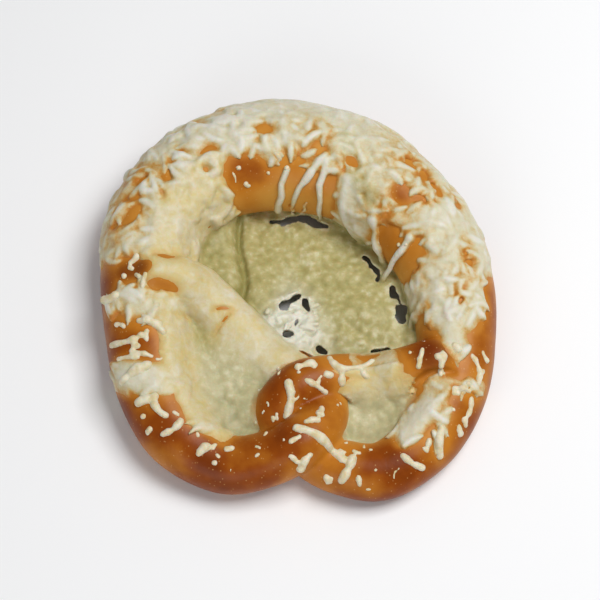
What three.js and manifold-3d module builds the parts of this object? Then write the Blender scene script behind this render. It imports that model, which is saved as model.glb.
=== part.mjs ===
// A soft cheese pretzel in millimetres, +Z up: one rolled rope of dough with its belly towards +Y, twisted
// once and folded back on its own shoulders, baked under grated cheese that melted over it and across its
// three windows.
import * as THREE from "three";
import { mergeVertices } from "three/addons/utils/BufferGeometryUtils.js";
import Module from "manifold-3d";

// The rolled rope
const ARM_HALF = 8.7; // half width where it was rolled thin, near both tips
const BELLY_HALF = 21; // half width at the thickest part of the belly
const BELLY_AT = 0.515; // share of the rope's length at which the belly is thickest
const SWELL_LEFT = 0.228; // reach of the swelling towards the left tip, as a share of the length
const SWELL_RIGHT = 0.213; // reach of the swelling towards the right tip
const ROUNDNESS = 0.92; // height of the baked rope over its width
const SETTLE = 1.8; // how far the soft rope settled flat on the tray
const TRAY_WIDE = 300; // sides of the block below the rope that stands for the tray
const TRAY_DEEP = 40;
const ROUTE_DIVISIONS = 1000; // steps in which the rope's length is measured
const WELD = 1e-4; // corners closer than this are one
const ROPE_SIDES = 16; // facets round the rope
const ROPE_STEP = 5.5; // distance between its rings
const TIP_TURNS = [20, 45, 70]; // degrees at which a rounded tip has a ring
const SPAN_ENDS = [0.18, 0.52, 0.86]; // shares of the length that part stretches which cross each other

// The melted cheese on the belly, the lobes' inner flanks and the left arm
const CHEESE_GAP = 0.3; // clearance between the cheese and the dough
const RIM_GAP = 3; // the same along the blanket's rims, in degrees about the rope's middle
const END_GAP = 0.01; // the same at the blanket's ends, as a share of the rope's length
const BLANKET_THICK = 1.9; // its thickness over the middle
const BLANKET_EDGE = 0.8; // the same at its rims
const BLANKET_LUMP = 0.22; // share by which the thickness rises and falls
const LUMP_ALONG = 1.9; // turn of that rise between two rings, in radians
const LUMP_ACROSS = 2.3; // the same between two points of a ring
const BLANKET_POINTS = 8; // points across the blanket
const BELLY_COVER = [0.267, 0.767]; // stretch of the rope that it lies on, as shares of the length
const ON_BELLY = [-78, 62]; // its two rims there, in degrees from the crown, positive into the loop
const ON_LOBES = [22, 50]; // the same along the lobes
const LEFT_FADE = [0.331, 0.391]; // stretch over which the left lobe's rims become the belly's
const RIGHT_FADE = [0.645, 0.73]; // the same for the right lobe
const BARE_WALL_AT = 0.507; // place of the bare stretch of the belly's inner wall
const BARE_WALL_REACH = 0.026; // half its length, as a share of the rope
const BARE_WALL_RISE = 42; // degrees by which the rim draws back there
const ARM_COVER = [0.012, 0.114]; // stretch of the left arm under cheese
const ON_ARM = [-62, 62]; // rims there

// The cheese that spans the windows
const WEB_UNDER = 7; // height of its underside
const WEB_THICK = 3.2; // its thickness away from the dough
const WEB_DIP = 2.5; // how much lower it hangs along the belly's inner wall
const WEB_DIP_RUN = [8, 32]; // stretch of y over which it comes down to that
const WEB_CLIMB = 3.2; // how far it climbs where it meets the arms and lobes
const WEB_CLIMB_REACH = 6; // distance over which that climb fades
const WEB_WAVE = 0.9; // height of its bubbles and folds
const WEB_WAVE_UNDER = 0.4; // share of that which shows underneath
const WAVE_X = 4.3; // run of one radian of the waves from left to right
const WAVE_Y = 5.1; // the same from front to back
const WAVE_SWAY = 1.7; // how far the waves wander, in radians
const WAVE_SWAY_RUN = 9; // run of one radian of that
const WEB_BOX = { left: -49, right: 49, near: -58, far: 47, cell: 7 };
const PARTING = 1; // half the gap between two webs where an arm bridges them
const LEFT_ARM = [0, 0.12]; // shares of the rope that bridge the webs
const RIGHT_ARM = [0.87, 1];
const PLUG_TALL = 60; // height of the plugs that cut holes in cheese
const PLUG_QUARTER = 6; // facets of each of their arcs

// Grated cheese left on the bare crust
const SPINE_POINTS = 600; // places along the rope at which the height of its skin is looked up
const SHRED_SIDES = 5;
const SHRED_RINGS = 4;
const SHRED_END = 0.55; // width of its ends over that of its middle
const SHRED_CAP = 0.7; // length of each rounded end over the half width
const SHRED_LYING = 0.25; // height of its middle line above the skin
const SHRED_FLAT = 0.85; // its thickness over its width

// Middle line of the rope from the left tip to the right one: x, y and the lift of its underside off the tray
const ROUTE = [
  [-62, 3.5, 20], // left tip, pressed onto the left shoulder
  [-47, 3, 17],
  [-34.5, -2, 9], // left arm
  [-22.5, -12, 4],
  [-10.5, -24, 1],
  [2, -33, 0.5], // upper crossing, underneath
  [9, -46, 3.5],
  [2, -59, 8.5], // lower crossing, on top
  [-11.5, -65, 4],
  [-26.5, -65.5, 0], // left lobe
  [-42.5, -55.5, 0],
  [-52.5, -36.5, 0],
  [-56, -15.5, 0],
  [-57, 8, 0], // left shoulder
  [-52, 33, 0],
  [-35.5, 50.5, 0],
  [-16.5, 57.5, 0], // belly
  [2.5, 57, 0],
  [22, 51, 0],
  [39, 37, 0],
  [51.5, 20, 0],
  [58, 0, 0], // right shoulder
  [58.5, -19.5, 0],
  [55.5, -38.5, 0], // right lobe
  [47, -55.5, 0],
  [31.5, -67.5, 0],
  [16, -66.5, 0.5],
  [3, -59, 0], // lower crossing, underneath
  [-7, -48, 4],
  [0.5, -38, 9.5], // upper crossing, on top
  [13.5, -33.5, 6.5], // right arm
  [27, -32.5, 4],
  [41, -31.5, 9.5],
  [59, -26.5, 15.5], // right tip, pressed onto the right shoulder
];

// Bare patches in the blanket: [x, y, half length, half width, turn in degrees]
const BARE_PATCHES = [
  [-47, 46, 6, 3.5, 50],
  [-38, 33, 6, 3, 55],
  [34, 22, 6, 4, -55],
  [58, 10, 7, 3.5, -70],
];

// Holes torn in the webs: the same five numbers each
const WEB_HOLES = [
  [-4, 35, 6, 3.2, 5],
  [6, 31, 3.2, 2, -25],
  [28, 15, 4.5, 2, -60],
  [38, -3, 5, 2.2, 80],
  [-3, -1, 4, 2, 35],
  [-16.5, -11.5, 3.2, 1.5, 70],
  [2.5, -23.5, 3, 1.4, -25],
  [14, -42.5, 3, 1.3, -20],
];

// The larger loose shreds, in plan: [x and y of one end, x and y of the other, half width]
const SHREDS = [
  // on the twist
  [-3.5, -40, -4, -51, 1.5],
  [3, -39, 10, -42, 1.2],
  [3, -55.5, 7, -54.5, 1.4],
  [8.5, -49, 8.5, -52, 1],
  [-0.5, -58, 16, -67, 1.8],
  [-2.5, -63, 0.5, -61.5, 1],
  [19.5, -66.5, 15.5, -74, 1.7],
  [4.5, -67, 1, -71, 1.5],
  [-2.5, -68, -0.5, -69.5, 1.2],
  [10, -72.5, 10.5, -74, 1.2],
  [21.5, -73.5, 22, -76, 1],
  // on the right arm and its tip
  [0, -33.5, 5, -31.5, 1.4],
  [11.5, -28.5, 16, -33.5, 1.5],
  [16, -33.5, 16, -38.5, 1.6],
  [10.5, -36, 12, -36, 1.3],
  [18, -33, 27, -29, 1],
  [23.5, -33.5, 25.5, -35.5, 1.2],
  [45, -27.5, 43.5, -34, 1.4],
  [50.5, -31, 53, -30.5, 1.3],
  [53, -30.5, 51.5, -36.5, 1.1],
  // on the right lobe
  [37.5, -66, 44.5, -69.5, 1.3],
  [47, -60.5, 46, -64, 1.1],
  [51.5, -56, 51, -65, 1.6],
  [62.5, -44.5, 61, -50.5, 1.1],
  [58, -54.5, 58.5, -56.5, 1.3],
  [59.5, -51.5, 60.5, -53.5, 1],
  [64.5, -30, 66, -34, 1.1],
  [67.5, -33.5, 65.5, -38.5, 1.2],
  [61.5, -39.5, 63.5, -41, 1],
  [67.5, -26.5, 69, -29, 1.1],
  [56.5, -41.5, 62, -42, 1.2],
  // on the left lobe
  [-71.5, -6.5, -67, -6.5, 1.6],
  [-66.5, -16.5, -63.5, -18, 1],
  [-57.5, -22, -57, -22, 1.2],
  [-58.5, -26, -58, -26, 1.1],
  [-68.5, -23, -60, -23.5, 1.6],
  [-65.5, -29.5, -58, -30.5, 1],
  [-64, -38.5, -58.5, -35, 2],
  [-58.5, -35, -54, -33, 2],
  [-57.5, -46.5, -51.5, -45, 1.7],
  [-51.5, -48, -47.5, -52, 1.4],
  [-56, -51.5, -55.5, -51.5, 1.1],
  [-53.5, -56.5, -53, -56, 1.4],
  [-48.5, -58.5, -42, -54, 1.4],
  [-35.5, -65.5, -32.5, -62.5, 1.7],
  [-30, -68.5, -29.5, -68.5, 1.1],
];

const wasm = await Module();
wasm.setup();

const UP = new THREE.Vector3(0, 0, 1);
const radians = THREE.MathUtils.degToRad;
const mix = THREE.MathUtils.lerp;
const ease = THREE.MathUtils.smoothstep;

const route = new THREE.CatmullRomCurve3(
  ROUTE.map(([x, y, lift]) => new THREE.Vector3(x, y, lift)),
  false,
  "catmullrom",
);
route.arcLengthDivisions = ROUTE_DIVISIONS;
const ROPE_LENGTH = route.getLength();

// A geometry with its shared corners merged, as a solid that can be joined and cut.
function solidOf(geometry) {
  geometry.deleteAttribute("normal");
  geometry.deleteAttribute("uv");
  const merged = mergeVertices(geometry, WELD);
  const vertProperties = merged.attributes.position.array;
  const triVerts = new Uint32Array(merged.index.array);
  return new wasm.Manifold(new wasm.Mesh({ numProp: 3, vertProperties, triVerts }));
}

function geometryOf(solid) {
  const { vertProperties, triVerts } = solid.getMesh();
  const geometry = new THREE.BufferGeometry();
  geometry.setAttribute("position", new THREE.BufferAttribute(vertProperties, 3));
  geometry.setIndex(new THREE.BufferAttribute(triVerts, 1));
  geometry.computeVertexNormals();
  return geometry;
}

// One closed solid through rings of equal length, with a fan over each end.
function loft(rings) {
  const sides = rings[0].length;
  const last = (rings.length - 1) * sides;
  const faces = [];
  for (let i = 0; i < last; i += sides) {
    for (let j = 0; j < sides; j++) {
      const a = i + j;
      const b = i + ((j + 1) % sides);
      faces.push(a, b, b + sides, a, b + sides, a + sides);
    }
  }
  for (let j = 1; j + 1 < sides; j++) {
    faces.push(0, j + 1, j, last, last + j, last + j + 1);
  }
  const geometry = new THREE.BufferGeometry().setFromPoints(rings.flat());
  geometry.setIndex(faces);
  return solidOf(geometry);
}

function largestBody(solid) {
  return solid.decompose().sort((a, b) => b.volume() - a.volume())[0];
}

// An upright elliptical plug, for a hole through cheese.
function plug([x, y, halfLength, halfWidth, turn]) {
  const outline = new THREE.Shape();
  outline.absellipse(0, 0, halfLength, halfWidth, 0, 2 * Math.PI);
  const settings = { depth: PLUG_TALL, bevelEnabled: false, curveSegments: PLUG_QUARTER };
  const geometry = new THREE.ExtrudeGeometry(outline, settings);
  geometry.rotateZ(radians(turn));
  geometry.translate(x, y, 0);
  return solidOf(geometry);
}

// Half width of the rope at a share of its length.
function halfWidthAt(share) {
  const spread = share < BELLY_AT ? SWELL_LEFT : SWELL_RIGHT;
  return ARM_HALF + (BELLY_HALF - ARM_HALF) * Math.exp(-(((share - BELLY_AT) / spread) ** 2));
}

// The rope's cross-section: its middle, its sideways and upward directions and its half sizes. Sideways points
// into the loop on the belly and the lobes.
function sectionAt(share) {
  const middle = route.getPointAt(share);
  const along = route.getTangentAt(share);
  const side = new THREE.Vector3().crossVectors(along, UP).normalize();
  const up = new THREE.Vector3().crossVectors(side, along);
  const toTip = Math.min(share, 1 - share) * ROPE_LENGTH;
  const taper = toTip < ARM_HALF ? Math.sqrt(1 - (1 - toTip / ARM_HALF) ** 2) : 1;
  const halfWidth = halfWidthAt(share);
  middle.z += halfWidth * ROUNDNESS - SETTLE;
  return { middle, along, side, up, halfWidth: halfWidth * taper, halfHeight: halfWidth * ROUNDNESS * taper };
}

// A point over the rope's skin: angle in degrees from the crown, positive into the loop, and height above it.
function skinPoint(section, angle, height) {
  const turn = radians(angle);
  return section.middle
    .clone()
    .addScaledVector(section.side, (section.halfWidth + height) * Math.sin(turn))
    .addScaledVector(section.up, (section.halfHeight + height) * Math.cos(turn));
}

function ropeStations() {
  const tip = TIP_TURNS.map((turn) => (ARM_HALF * (1 - Math.cos(radians(turn)))) / ROPE_LENGTH);
  const start = ARM_HALF / ROPE_LENGTH;
  const count = Math.round(((1 - 2 * start) * ROPE_LENGTH) / ROPE_STEP);
  const run = Array.from({ length: count + 1 }, (_, i) => mix(start, 1 - start, i / count));
  return [...tip, ...run, ...tip.map((share) => 1 - share).reverse()];
}
const STATIONS = ropeStations();

// The rope, grown by a clearance where it cuts the cheese. It crosses itself, so it is joined from stretches
// that don't, and pockets closed in by the twist are filled.
function rope(grow) {
  const ends = SPAN_ENDS.map((share) => STATIONS.findIndex((station) => station >= share));
  const cuts = [0, ...ends, STATIONS.length - 1];
  const ring = (share) => {
    const section = sectionAt(share);
    return Array.from({ length: ROPE_SIDES }, (_, j) => skinPoint(section, (360 * j) / ROPE_SIDES, grow));
  };
  const stretch = (k) => loft(STATIONS.slice(cuts[k], cuts[k + 1] + 1).map(ring));
  let joined = stretch(0);
  for (let k = 1; k + 1 < cuts.length; k++) {
    joined = joined.add(stretch(k));
  }
  return largestBody(joined);
}

// Angles between which the blanket lies on the belly: it narrows to the inner flank along the lobes, and leaves
// the belly's inner wall bare left of its middle.
function bellyCover(share) {
  const lobe = Math.max(1 - ease(share, ...LEFT_FADE), ease(share, ...RIGHT_FADE));
  const bare = Math.exp(-(((share - BARE_WALL_AT) / BARE_WALL_REACH) ** 2));
  const [outer, inner] = ON_BELLY.map((angle, k) => mix(angle, ON_LOBES[k], lobe));
  return [outer, inner - BARE_WALL_RISE * bare];
}

function armCover() {
  return ON_ARM;
}

// A stretch of blanket, solid down to the rope's middle line. With grow 1 it is larger by its clearances, to cut
// the webs.
function blanketOver([from, to], cover, grow) {
  const ring = (share, i) => {
    const section = sectionAt(share);
    const [outer, inner] = cover(share);
    const points = [section.middle];
    for (let j = 0; j < BLANKET_POINTS; j++) {
      const across = j / (BLANKET_POINTS - 1);
      const swell = 1 + BLANKET_LUMP * Math.sin(LUMP_ALONG * i + LUMP_ACROSS * j);
      const height = mix(BLANKET_EDGE, BLANKET_THICK * swell, Math.sin(Math.PI * across));
      const angle = mix(outer - grow * RIM_GAP, inner + grow * RIM_GAP, across);
      points.push(skinPoint(section, angle, height + grow * CHEESE_GAP));
    }
    return points;
  };
  const [first, last] = [from - grow * END_GAP, to + grow * END_GAP];
  return loft(STATIONS.filter((share) => share > first && share < last).map(ring));
}

// Thin upright wall under an arm, from the tray to its middle, that parts the webs on its two sides.
function wallUnder([from, to]) {
  const ring = (share) => {
    const { middle, side } = sectionAt(share);
    const corner = (across, z) => new THREE.Vector3(middle.x, middle.y, z).addScaledVector(side, across);
    return [
      corner(PARTING, middle.z),
      corner(PARTING, 0),
      corner(-PARTING, 0),
      corner(-PARTING, middle.z),
    ];
  };
  return loft(STATIONS.filter((share) => share > from && share < to).map(ring));
}

// The cheese across the inside of the loop before the dough is cut out of it.
function webSheet() {
  const { left, right, near, far, cell } = WEB_BOX;
  const width = right - left;
  const depth = far - near;
  const geometry = new THREE.BoxGeometry(width, depth, 1, width / cell, Math.round(depth / cell), 1);
  const sections = STATIONS.map(sectionAt);
  const corners = geometry.attributes.position;
  for (let i = 0; i < corners.count; i++) {
    const x = corners.getX(i) + (left + right) / 2;
    const y = corners.getY(i) + (near + far) / 2;
    const toDough = Math.min(
      ...sections.map(({ middle, halfWidth }) => Math.hypot(x - middle.x, y - middle.y) - halfWidth),
    );
    const dip = ease(y, ...WEB_DIP_RUN);
    const climb = (1 - dip) * WEB_CLIMB * Math.exp(-Math.max(toDough, 0) / WEB_CLIMB_REACH);
    const sway = WAVE_SWAY * Math.sin(y / WAVE_SWAY_RUN);
    const wave = WEB_WAVE * Math.sin(x / WAVE_X + sway) * Math.cos(y / WAVE_Y);
    const under = WEB_UNDER - WEB_DIP * dip;
    const isTop = corners.getZ(i) > 0;
    corners.setXYZ(i, x, y, isTop ? under + WEB_THICK + climb + wave : under + WEB_WAVE_UNDER * wave);
  }
  return solidOf(geometry);
}

// The highest point of the rope's skin over a place in plan, and the way it faces.
const SPINE = Array.from({ length: SPINE_POINTS }, (_, i) => sectionAt(i / (SPINE_POINTS - 1)));
function skinOver(x, y) {
  const tops = SPINE.map(({ middle, halfWidth, halfHeight }) => {
    const offset = new THREE.Vector3(x - middle.x, y - middle.y, 0);
    const height = 1 - offset.lengthSq() / halfWidth ** 2;
    offset.z = height > 0 ? halfHeight * Math.sqrt(height) : -Infinity;
    return { point: offset.clone().add(middle), offset };
  });
  const { point, offset } = tops.reduce((a, b) => (a.point.z > b.point.z ? a : b));
  const normal = offset.setZ(offset.z / ROUNDNESS ** 2).normalize();
  return { point, normal };
}

// One half-melted shred lying on the rope: a flat spindle that follows the skin.
function shred([x0, y0, x1, y1, half]) {
  const overhang = (SHRED_CAP * half) / Math.hypot(x1 - x0, y1 - y0);
  const heading = new THREE.Vector3(x1 - x0, y1 - y0, 0).normalize();
  const rings = [];
  for (let i = 0; i < SHRED_RINGS; i++) {
    const run = mix(-overhang, 1 + overhang, i / (SHRED_RINGS - 1));
    const wide = i === 0 || i === SHRED_RINGS - 1 ? SHRED_END * half : half;
    const { point, normal } = skinOver(mix(x0, x1, run), mix(y0, y1, run));
    const side = new THREE.Vector3().crossVectors(heading, normal).normalize();
    point.addScaledVector(normal, SHRED_LYING);
    rings.push(
      Array.from({ length: SHRED_SIDES }, (_, j) => {
        const round = (2 * Math.PI * j) / SHRED_SIDES;
        return point
          .clone()
          .addScaledVector(side, wide * Math.sin(round))
          .addScaledVector(normal, SHRED_FLAT * wide * Math.cos(round));
      }),
    );
  }
  return loft(rings);
}

const dough = rope(0);
const doughWithGap = rope(CHEESE_GAP);
const tray = solidOf(new THREE.BoxGeometry(TRAY_WIDE, TRAY_WIDE, TRAY_DEEP).translate(0, 0, -TRAY_DEEP / 2));

const pretzel = SHREDS.map(shred)
  .reduce((joined, piece) => joined.add(piece), dough)
  .subtract(tray);

const carve = (solid, cutters) => cutters.reduce((rest, cutter) => rest.subtract(cutter), solid);
const cover = (grow) => blanketOver(BELLY_COVER, bellyCover, grow).add(blanketOver(ARM_COVER, armCover, grow));
const blanket = carve(cover(0), [doughWithGap, ...BARE_PATCHES.map(plug)]);

const sheet = carve(webSheet(), [
  doughWithGap,
  cover(1),
  wallUnder(LEFT_ARM),
  wallUnder(RIGHT_ARM),
  ...WEB_HOLES.map(plug),
]);
const webs = sheet
  .decompose()
  .sort((a, b) => b.volume() - a.volume())
  .slice(0, 3);
const middleX = (web) => (web.boundingBox().min[0] + web.boundingBox().max[0]) / 2;
const [centreWeb, ...lobeWebs] = webs;
const [leftWeb, rightWeb] = lobeWebs.sort((a, b) => middleX(a) - middleX(b));

const crust = new THREE.MeshStandardMaterial({ color: 0x9c5a1e, roughness: 0.38, metalness: 0 });
const meltedCheese = new THREE.MeshStandardMaterial({ color: 0xd6cba6, roughness: 0.5, metalness: 0 });
const bubbledCheese = new THREE.MeshStandardMaterial({ color: 0xc4ba86, roughness: 0.42, metalness: 0 });

const piece = (name, solid, material) => {
  const mesh = new THREE.Mesh(geometryOf(solid), material.clone());
  mesh.name = name;
  return mesh;
};

const cheesePretzel = new THREE.Group();
cheesePretzel.add(
  piece("pretzel", largestBody(pretzel), crust),
  piece("cheese_blanket", largestBody(blanket), meltedCheese),
  piece("cheese_web_centre", centreWeb, bubbledCheese),
  piece("cheese_web_left", leftWeb, bubbledCheese),
  piece("cheese_web_right", rightWeb, bubbledCheese),
);

export default cheesePretzel;
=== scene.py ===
"""A soft cheese pretzel: a twisted rope of browned dough under melted cheese that also closes its windows."""
import math

import bpy
import numpy as np
import openvdb
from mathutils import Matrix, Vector


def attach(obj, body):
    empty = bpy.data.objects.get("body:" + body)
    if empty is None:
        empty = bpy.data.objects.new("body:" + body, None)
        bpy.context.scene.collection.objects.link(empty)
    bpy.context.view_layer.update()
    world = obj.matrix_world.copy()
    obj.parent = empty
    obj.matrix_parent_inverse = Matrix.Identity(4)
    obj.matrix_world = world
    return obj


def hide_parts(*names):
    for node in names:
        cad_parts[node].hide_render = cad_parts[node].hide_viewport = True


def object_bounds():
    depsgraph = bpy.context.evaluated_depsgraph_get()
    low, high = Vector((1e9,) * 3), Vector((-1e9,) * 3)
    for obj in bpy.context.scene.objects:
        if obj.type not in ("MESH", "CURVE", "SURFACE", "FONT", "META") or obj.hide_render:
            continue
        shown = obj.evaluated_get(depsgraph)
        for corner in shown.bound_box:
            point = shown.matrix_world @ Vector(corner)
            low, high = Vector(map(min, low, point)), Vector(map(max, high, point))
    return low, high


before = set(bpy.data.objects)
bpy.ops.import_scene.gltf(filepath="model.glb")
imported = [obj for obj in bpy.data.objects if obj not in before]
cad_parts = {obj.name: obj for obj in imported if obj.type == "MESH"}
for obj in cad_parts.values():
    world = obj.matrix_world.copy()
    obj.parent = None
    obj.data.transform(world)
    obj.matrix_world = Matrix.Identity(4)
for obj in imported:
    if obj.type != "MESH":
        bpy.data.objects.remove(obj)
cad_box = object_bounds()

# Dough rope. One strip of wheat dough, rolled thick in the middle and thin at both ends, laid in a loop,
# twisted once at the front and pressed by its tips onto its own shoulders. It proves and bakes into one
# smooth piece with a browned crust, and rests on a flat underside.
MM = 0.001  # lengths are written in millimetres
ARM_HALF = 8.7  # half width of the rope at its arms
BELLY_HALF = 21.0
BELLY_AT = 0.515  # where the rope is thickest, as a share of its length
SWELL_LEFT = 0.228  # how far the thick part reaches to each side, as a share too
SWELL_RIGHT = 0.213
ROUNDNESS = 0.92  # height of the rope over its width
SETTLE = 1.8  # how much of it the tray pressed flat
ROUTE = [  # x, y and lift of the rope's middle line, from the left tip to the right one
    (-62, 3.5, 20), (-47, 3, 17), (-34.5, -2, 9), (-22.5, -12, 4), (-10.5, -24, 1), (2, -33, 0.5),
    (9, -46, 3.5), (2, -59, 8.5), (-11.5, -65, 4), (-26.5, -65.5, 0), (-42.5, -55.5, 0), (-52.5, -36.5, 0),
    (-56, -15.5, 0), (-57, 8, 0), (-52, 33, 0), (-35.5, 50.5, 0), (-16.5, 57.5, 0), (2.5, 57, 0),
    (22, 51, 0), (39, 37, 0), (51.5, 20, 0), (58, 0, 0), (58.5, -19.5, 0), (55.5, -38.5, 0),
    (47, -55.5, 0), (31.5, -67.5, 0), (16, -66.5, 0.5), (3, -59, 0), (-7, -48, 4), (0.5, -38, 9.5),
    (13.5, -33.5, 6.5), (27, -32.5, 4), (41, -31.5, 9.5), (59, -26.5, 15.5),
]
LOOP = slice(7, 28)  # the part of the route that rings the three windows
PRESSED = [(39.5, -42), (43, -38.8), (47, -36.8), (52, -35.6), (58, -35.2)]  # crease where the right tip ends
PRESSED_DEEP = 2
CRUST_RELIEF = [(3, 22, 0.6), (4, 7, 0.15)]  # seed, size and height of the crust's waves and dimples
ROUTE_STEPS = 4000
STATIONS = 451  # places along the rope
CELL = 0.55  # step of the grid on which the shapes are worked out
ROOM_BELOW = (4, 4, 3)  # space on the grid round the solids' box
ROOM_ABOVE = (4, 4, 4)
SKIN_REACH = 7  # how far round the rope its depth is worked out
STRAND_ROOM = 2  # the same round a thin strand
FAR = 9.0  # distance given to places that are far from a piece
SPECK_FACES = 8  # bits of mesh with fewer faces are left out
AMBER = "#B97628"  # crust that the edge of the cheese fried
BLOTCH = 22  # size of the darker and paler patches of the crust
BLISTER = 1.9  # spacing of the tiny blisters on it
GRAIN = 1.4  # its fine grain, drawn coarser than it is so that it shows


def along_route(count):
    """The rope's middle line on the tray at even steps, x, y and lift, and its length."""
    knots = np.array(ROUTE, float)
    padded = np.vstack([2 * knots[0] - knots[1], knots, 2 * knots[-1] - knots[-2]])
    place = np.linspace(0, len(knots) - 1, ROUTE_STEPS)
    first = np.minimum(place.astype(int), len(knots) - 2)
    s = (place - first)[:, None]
    a, b, c, d = (padded[first + k] for k in range(4))
    line = b + 0.5 * s * (c - a + s * (2 * a - 5 * b + 4 * c - d + s * (3 * b - a - 3 * c + d)))
    run = np.concatenate([[0], np.cumsum(np.linalg.norm(np.diff(line, axis=0), axis=1))])
    even = np.linspace(0, run[-1], count)
    return np.stack([np.interp(even, run, line[:, k]) for k in range(3)], 1), run[-1]


share = np.linspace(0, 1, STATIONS)
middle, rope_length = along_route(STATIONS)
swell_reach = np.where(share < BELLY_AT, SWELL_LEFT, SWELL_RIGHT)
half = ARM_HALF + (BELLY_HALF - ARM_HALF) * np.exp(-(((share - BELLY_AT) / swell_reach) ** 2))
along = np.gradient(middle, axis=0)
along /= np.linalg.norm(along, axis=1)[:, None]
side = np.cross(along, (0, 0, 1))
side /= np.linalg.norm(side, axis=1)[:, None]
up = np.cross(side, along)
middle[:, 2] += half * ROUNDNESS - SETTLE

low = np.array(cad_box[0]) / MM - ROOM_BELOW
high = np.array(cad_box[1]) / MM + ROOM_ABOVE
axes = [np.arange(low[k], high[k], CELL) for k in range(3)]
shape = [len(axis) for axis in axes]
height = axes[2][None, None, :]


def window(centre, reach):
    """The block of cells within reach of a point, and their offsets from it along each axis."""
    first = [max(int((centre[k] - reach - low[k]) / CELL), 0) for k in range(3)]
    last = [int((centre[k] + reach - low[k]) / CELL) + 2 for k in range(3)]
    block = tuple(slice(a, b) for a, b in zip(first, last))
    x, y, z = (axes[k][block[k]] - centre[k] for k in range(3))
    return block, x[:, None, None], y[None, :, None], z[None, None, :]


def soften(field, cells):
    """A field blurred over a few cells."""
    for axis in range(3):
        width = [(cells + 1, cells) if k == axis else (0, 0) for k in range(3)]
        total = np.cumsum(np.pad(field, width, mode="edge"), axis=axis, dtype=float)
        ahead = np.take(total, range(2 * cells + 1, total.shape[axis]), axis=axis)
        behind = np.take(total, range(0, total.shape[axis] - 2 * cells - 1), axis=axis)
        field = (ahead - behind) / (2 * cells + 1)
    return field


def lumps(seed, size):
    """Smooth random relief over all cells, about -1 to 1, with swellings of about the given size."""
    weights = []
    for axis in axes:
        place = (axis - axis[0]) / size
        gap = np.abs(place[:, None] - (np.arange(int(place[-1]) + 4) - 1)[None, :])
        near = 2 / 3 - gap**2 + gap**3 / 2
        far = np.clip(2 - gap, 0, None) ** 3 / 6
        weights.append(np.where(gap < 1, near, far))
    knot_range = 2.4  # smoothing brings this down to about 1
    knots = np.random.default_rng(seed).uniform(-knot_range, knot_range, [w.shape[1] for w in weights])
    return np.einsum("xa,yb,zc,abc->xyz", *weights, knots, optimize=True)


def relief(kinds):
    """Smooth random relief of several kinds, each with its seed, size and height."""
    return sum(rise * lumps(seed, size) for seed, size, rise in kinds)


dough = np.full(shape, FAR)
nearest = np.zeros(shape, np.int16)
tip = ARM_HALF / rope_length
for k in np.nonzero((share > tip) & (share < 1 - tip))[0]:
    block, x, y, z = window(middle[k], half[k] + SKIN_REACH)
    ball = np.sqrt(x**2 + y**2 + (z / ROUNDNESS) ** 2) - half[k]
    closer = ball < dough[block]
    nearest[block] = np.where(closer, k, nearest[block])
    dough[block] = np.where(closer, ball, dough[block])
dough = soften(soften(dough, 1), 1) + relief(CRUST_RELIEF)


def upper_skin(field):
    """Height of a solid's upper surface over each cell in plan, 0 where there is none."""
    solid = field < 0
    tops = shape[2] - 1 - np.argmax(solid[:, :, ::-1], axis=2)
    columns = tuple(np.ogrid[: shape[0], : shape[1]])
    inner = field[columns + (tops,)]
    outer = field[columns + (np.minimum(tops + 1, shape[2] - 1),)]
    part = np.clip(inner / (inner - outer - 1e-6), 0, 1)
    return np.where(solid.any(axis=2), axes[2][tops] + CELL * part, 0)


def strand(points, radii):
    """The block of cells round a strand through points, and their distance from its surface."""
    centre = (points.min(0) + points.max(0)) / 2
    half_span = (points.max(0) - points.min(0)).max() / 2
    block, x, y, z = window(centre, half_span + max(radii) + STRAND_ROOM)
    body = np.full(np.broadcast(x, y, z).shape, FAR)
    for point, radius in zip(points - centre, radii):
        gap = np.sqrt((x - point[0]) ** 2 + (y - point[1]) ** 2 + (z - point[2]) ** 2)
        body = np.minimum(body, gap - radius)
    return block, body


def value_at(field, point):
    """A field's value in the cell that holds a point."""
    return field[tuple(np.clip(((point - low) / CELL).round().astype(int), 0, np.array(field.shape) - 1))]


def crease(field, path, deep):
    """Presses a furrow along a path in plan into the upper skin of a solid."""
    skin_height = upper_skin(field)[:, :, None]
    knots = np.arange(len(path))
    run = np.linspace(0, knots[-1], 20 * len(path))
    x, y = (np.interp(run, knots, np.array(path)[:, k]) for k in range(2))
    line = np.array([(a, b, value_at(skin_height, np.array([a, b, 0]))) for a, b in zip(x, y)])
    block, body = strand(line, deep * np.sqrt(np.clip(np.sin(np.pi * run / run[-1]), 0.05, 1)))
    field[block] = np.maximum(field[block], -body)


crease(dough, PRESSED, PRESSED_DEEP)


def without_specks(points, faces, fewest):
    """The points and faces of a mesh, less the islands with fewer faces than that."""
    island, spreading = np.full(len(points), -1), np.arange(len(points))
    while (island != spreading).any():
        island = spreading
        spreading = island.copy()
        for corner in faces.T:
            np.minimum.at(spreading, corner, island[faces].min(axis=1))
        spreading = spreading[spreading]
    _, which, size = np.unique(island[faces[:, 0]], return_inverse=True, return_counts=True)
    used, faces = np.unique(faces[size[which] >= fewest], return_inverse=True)
    return points[used], faces.reshape(-1, 4)


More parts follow.
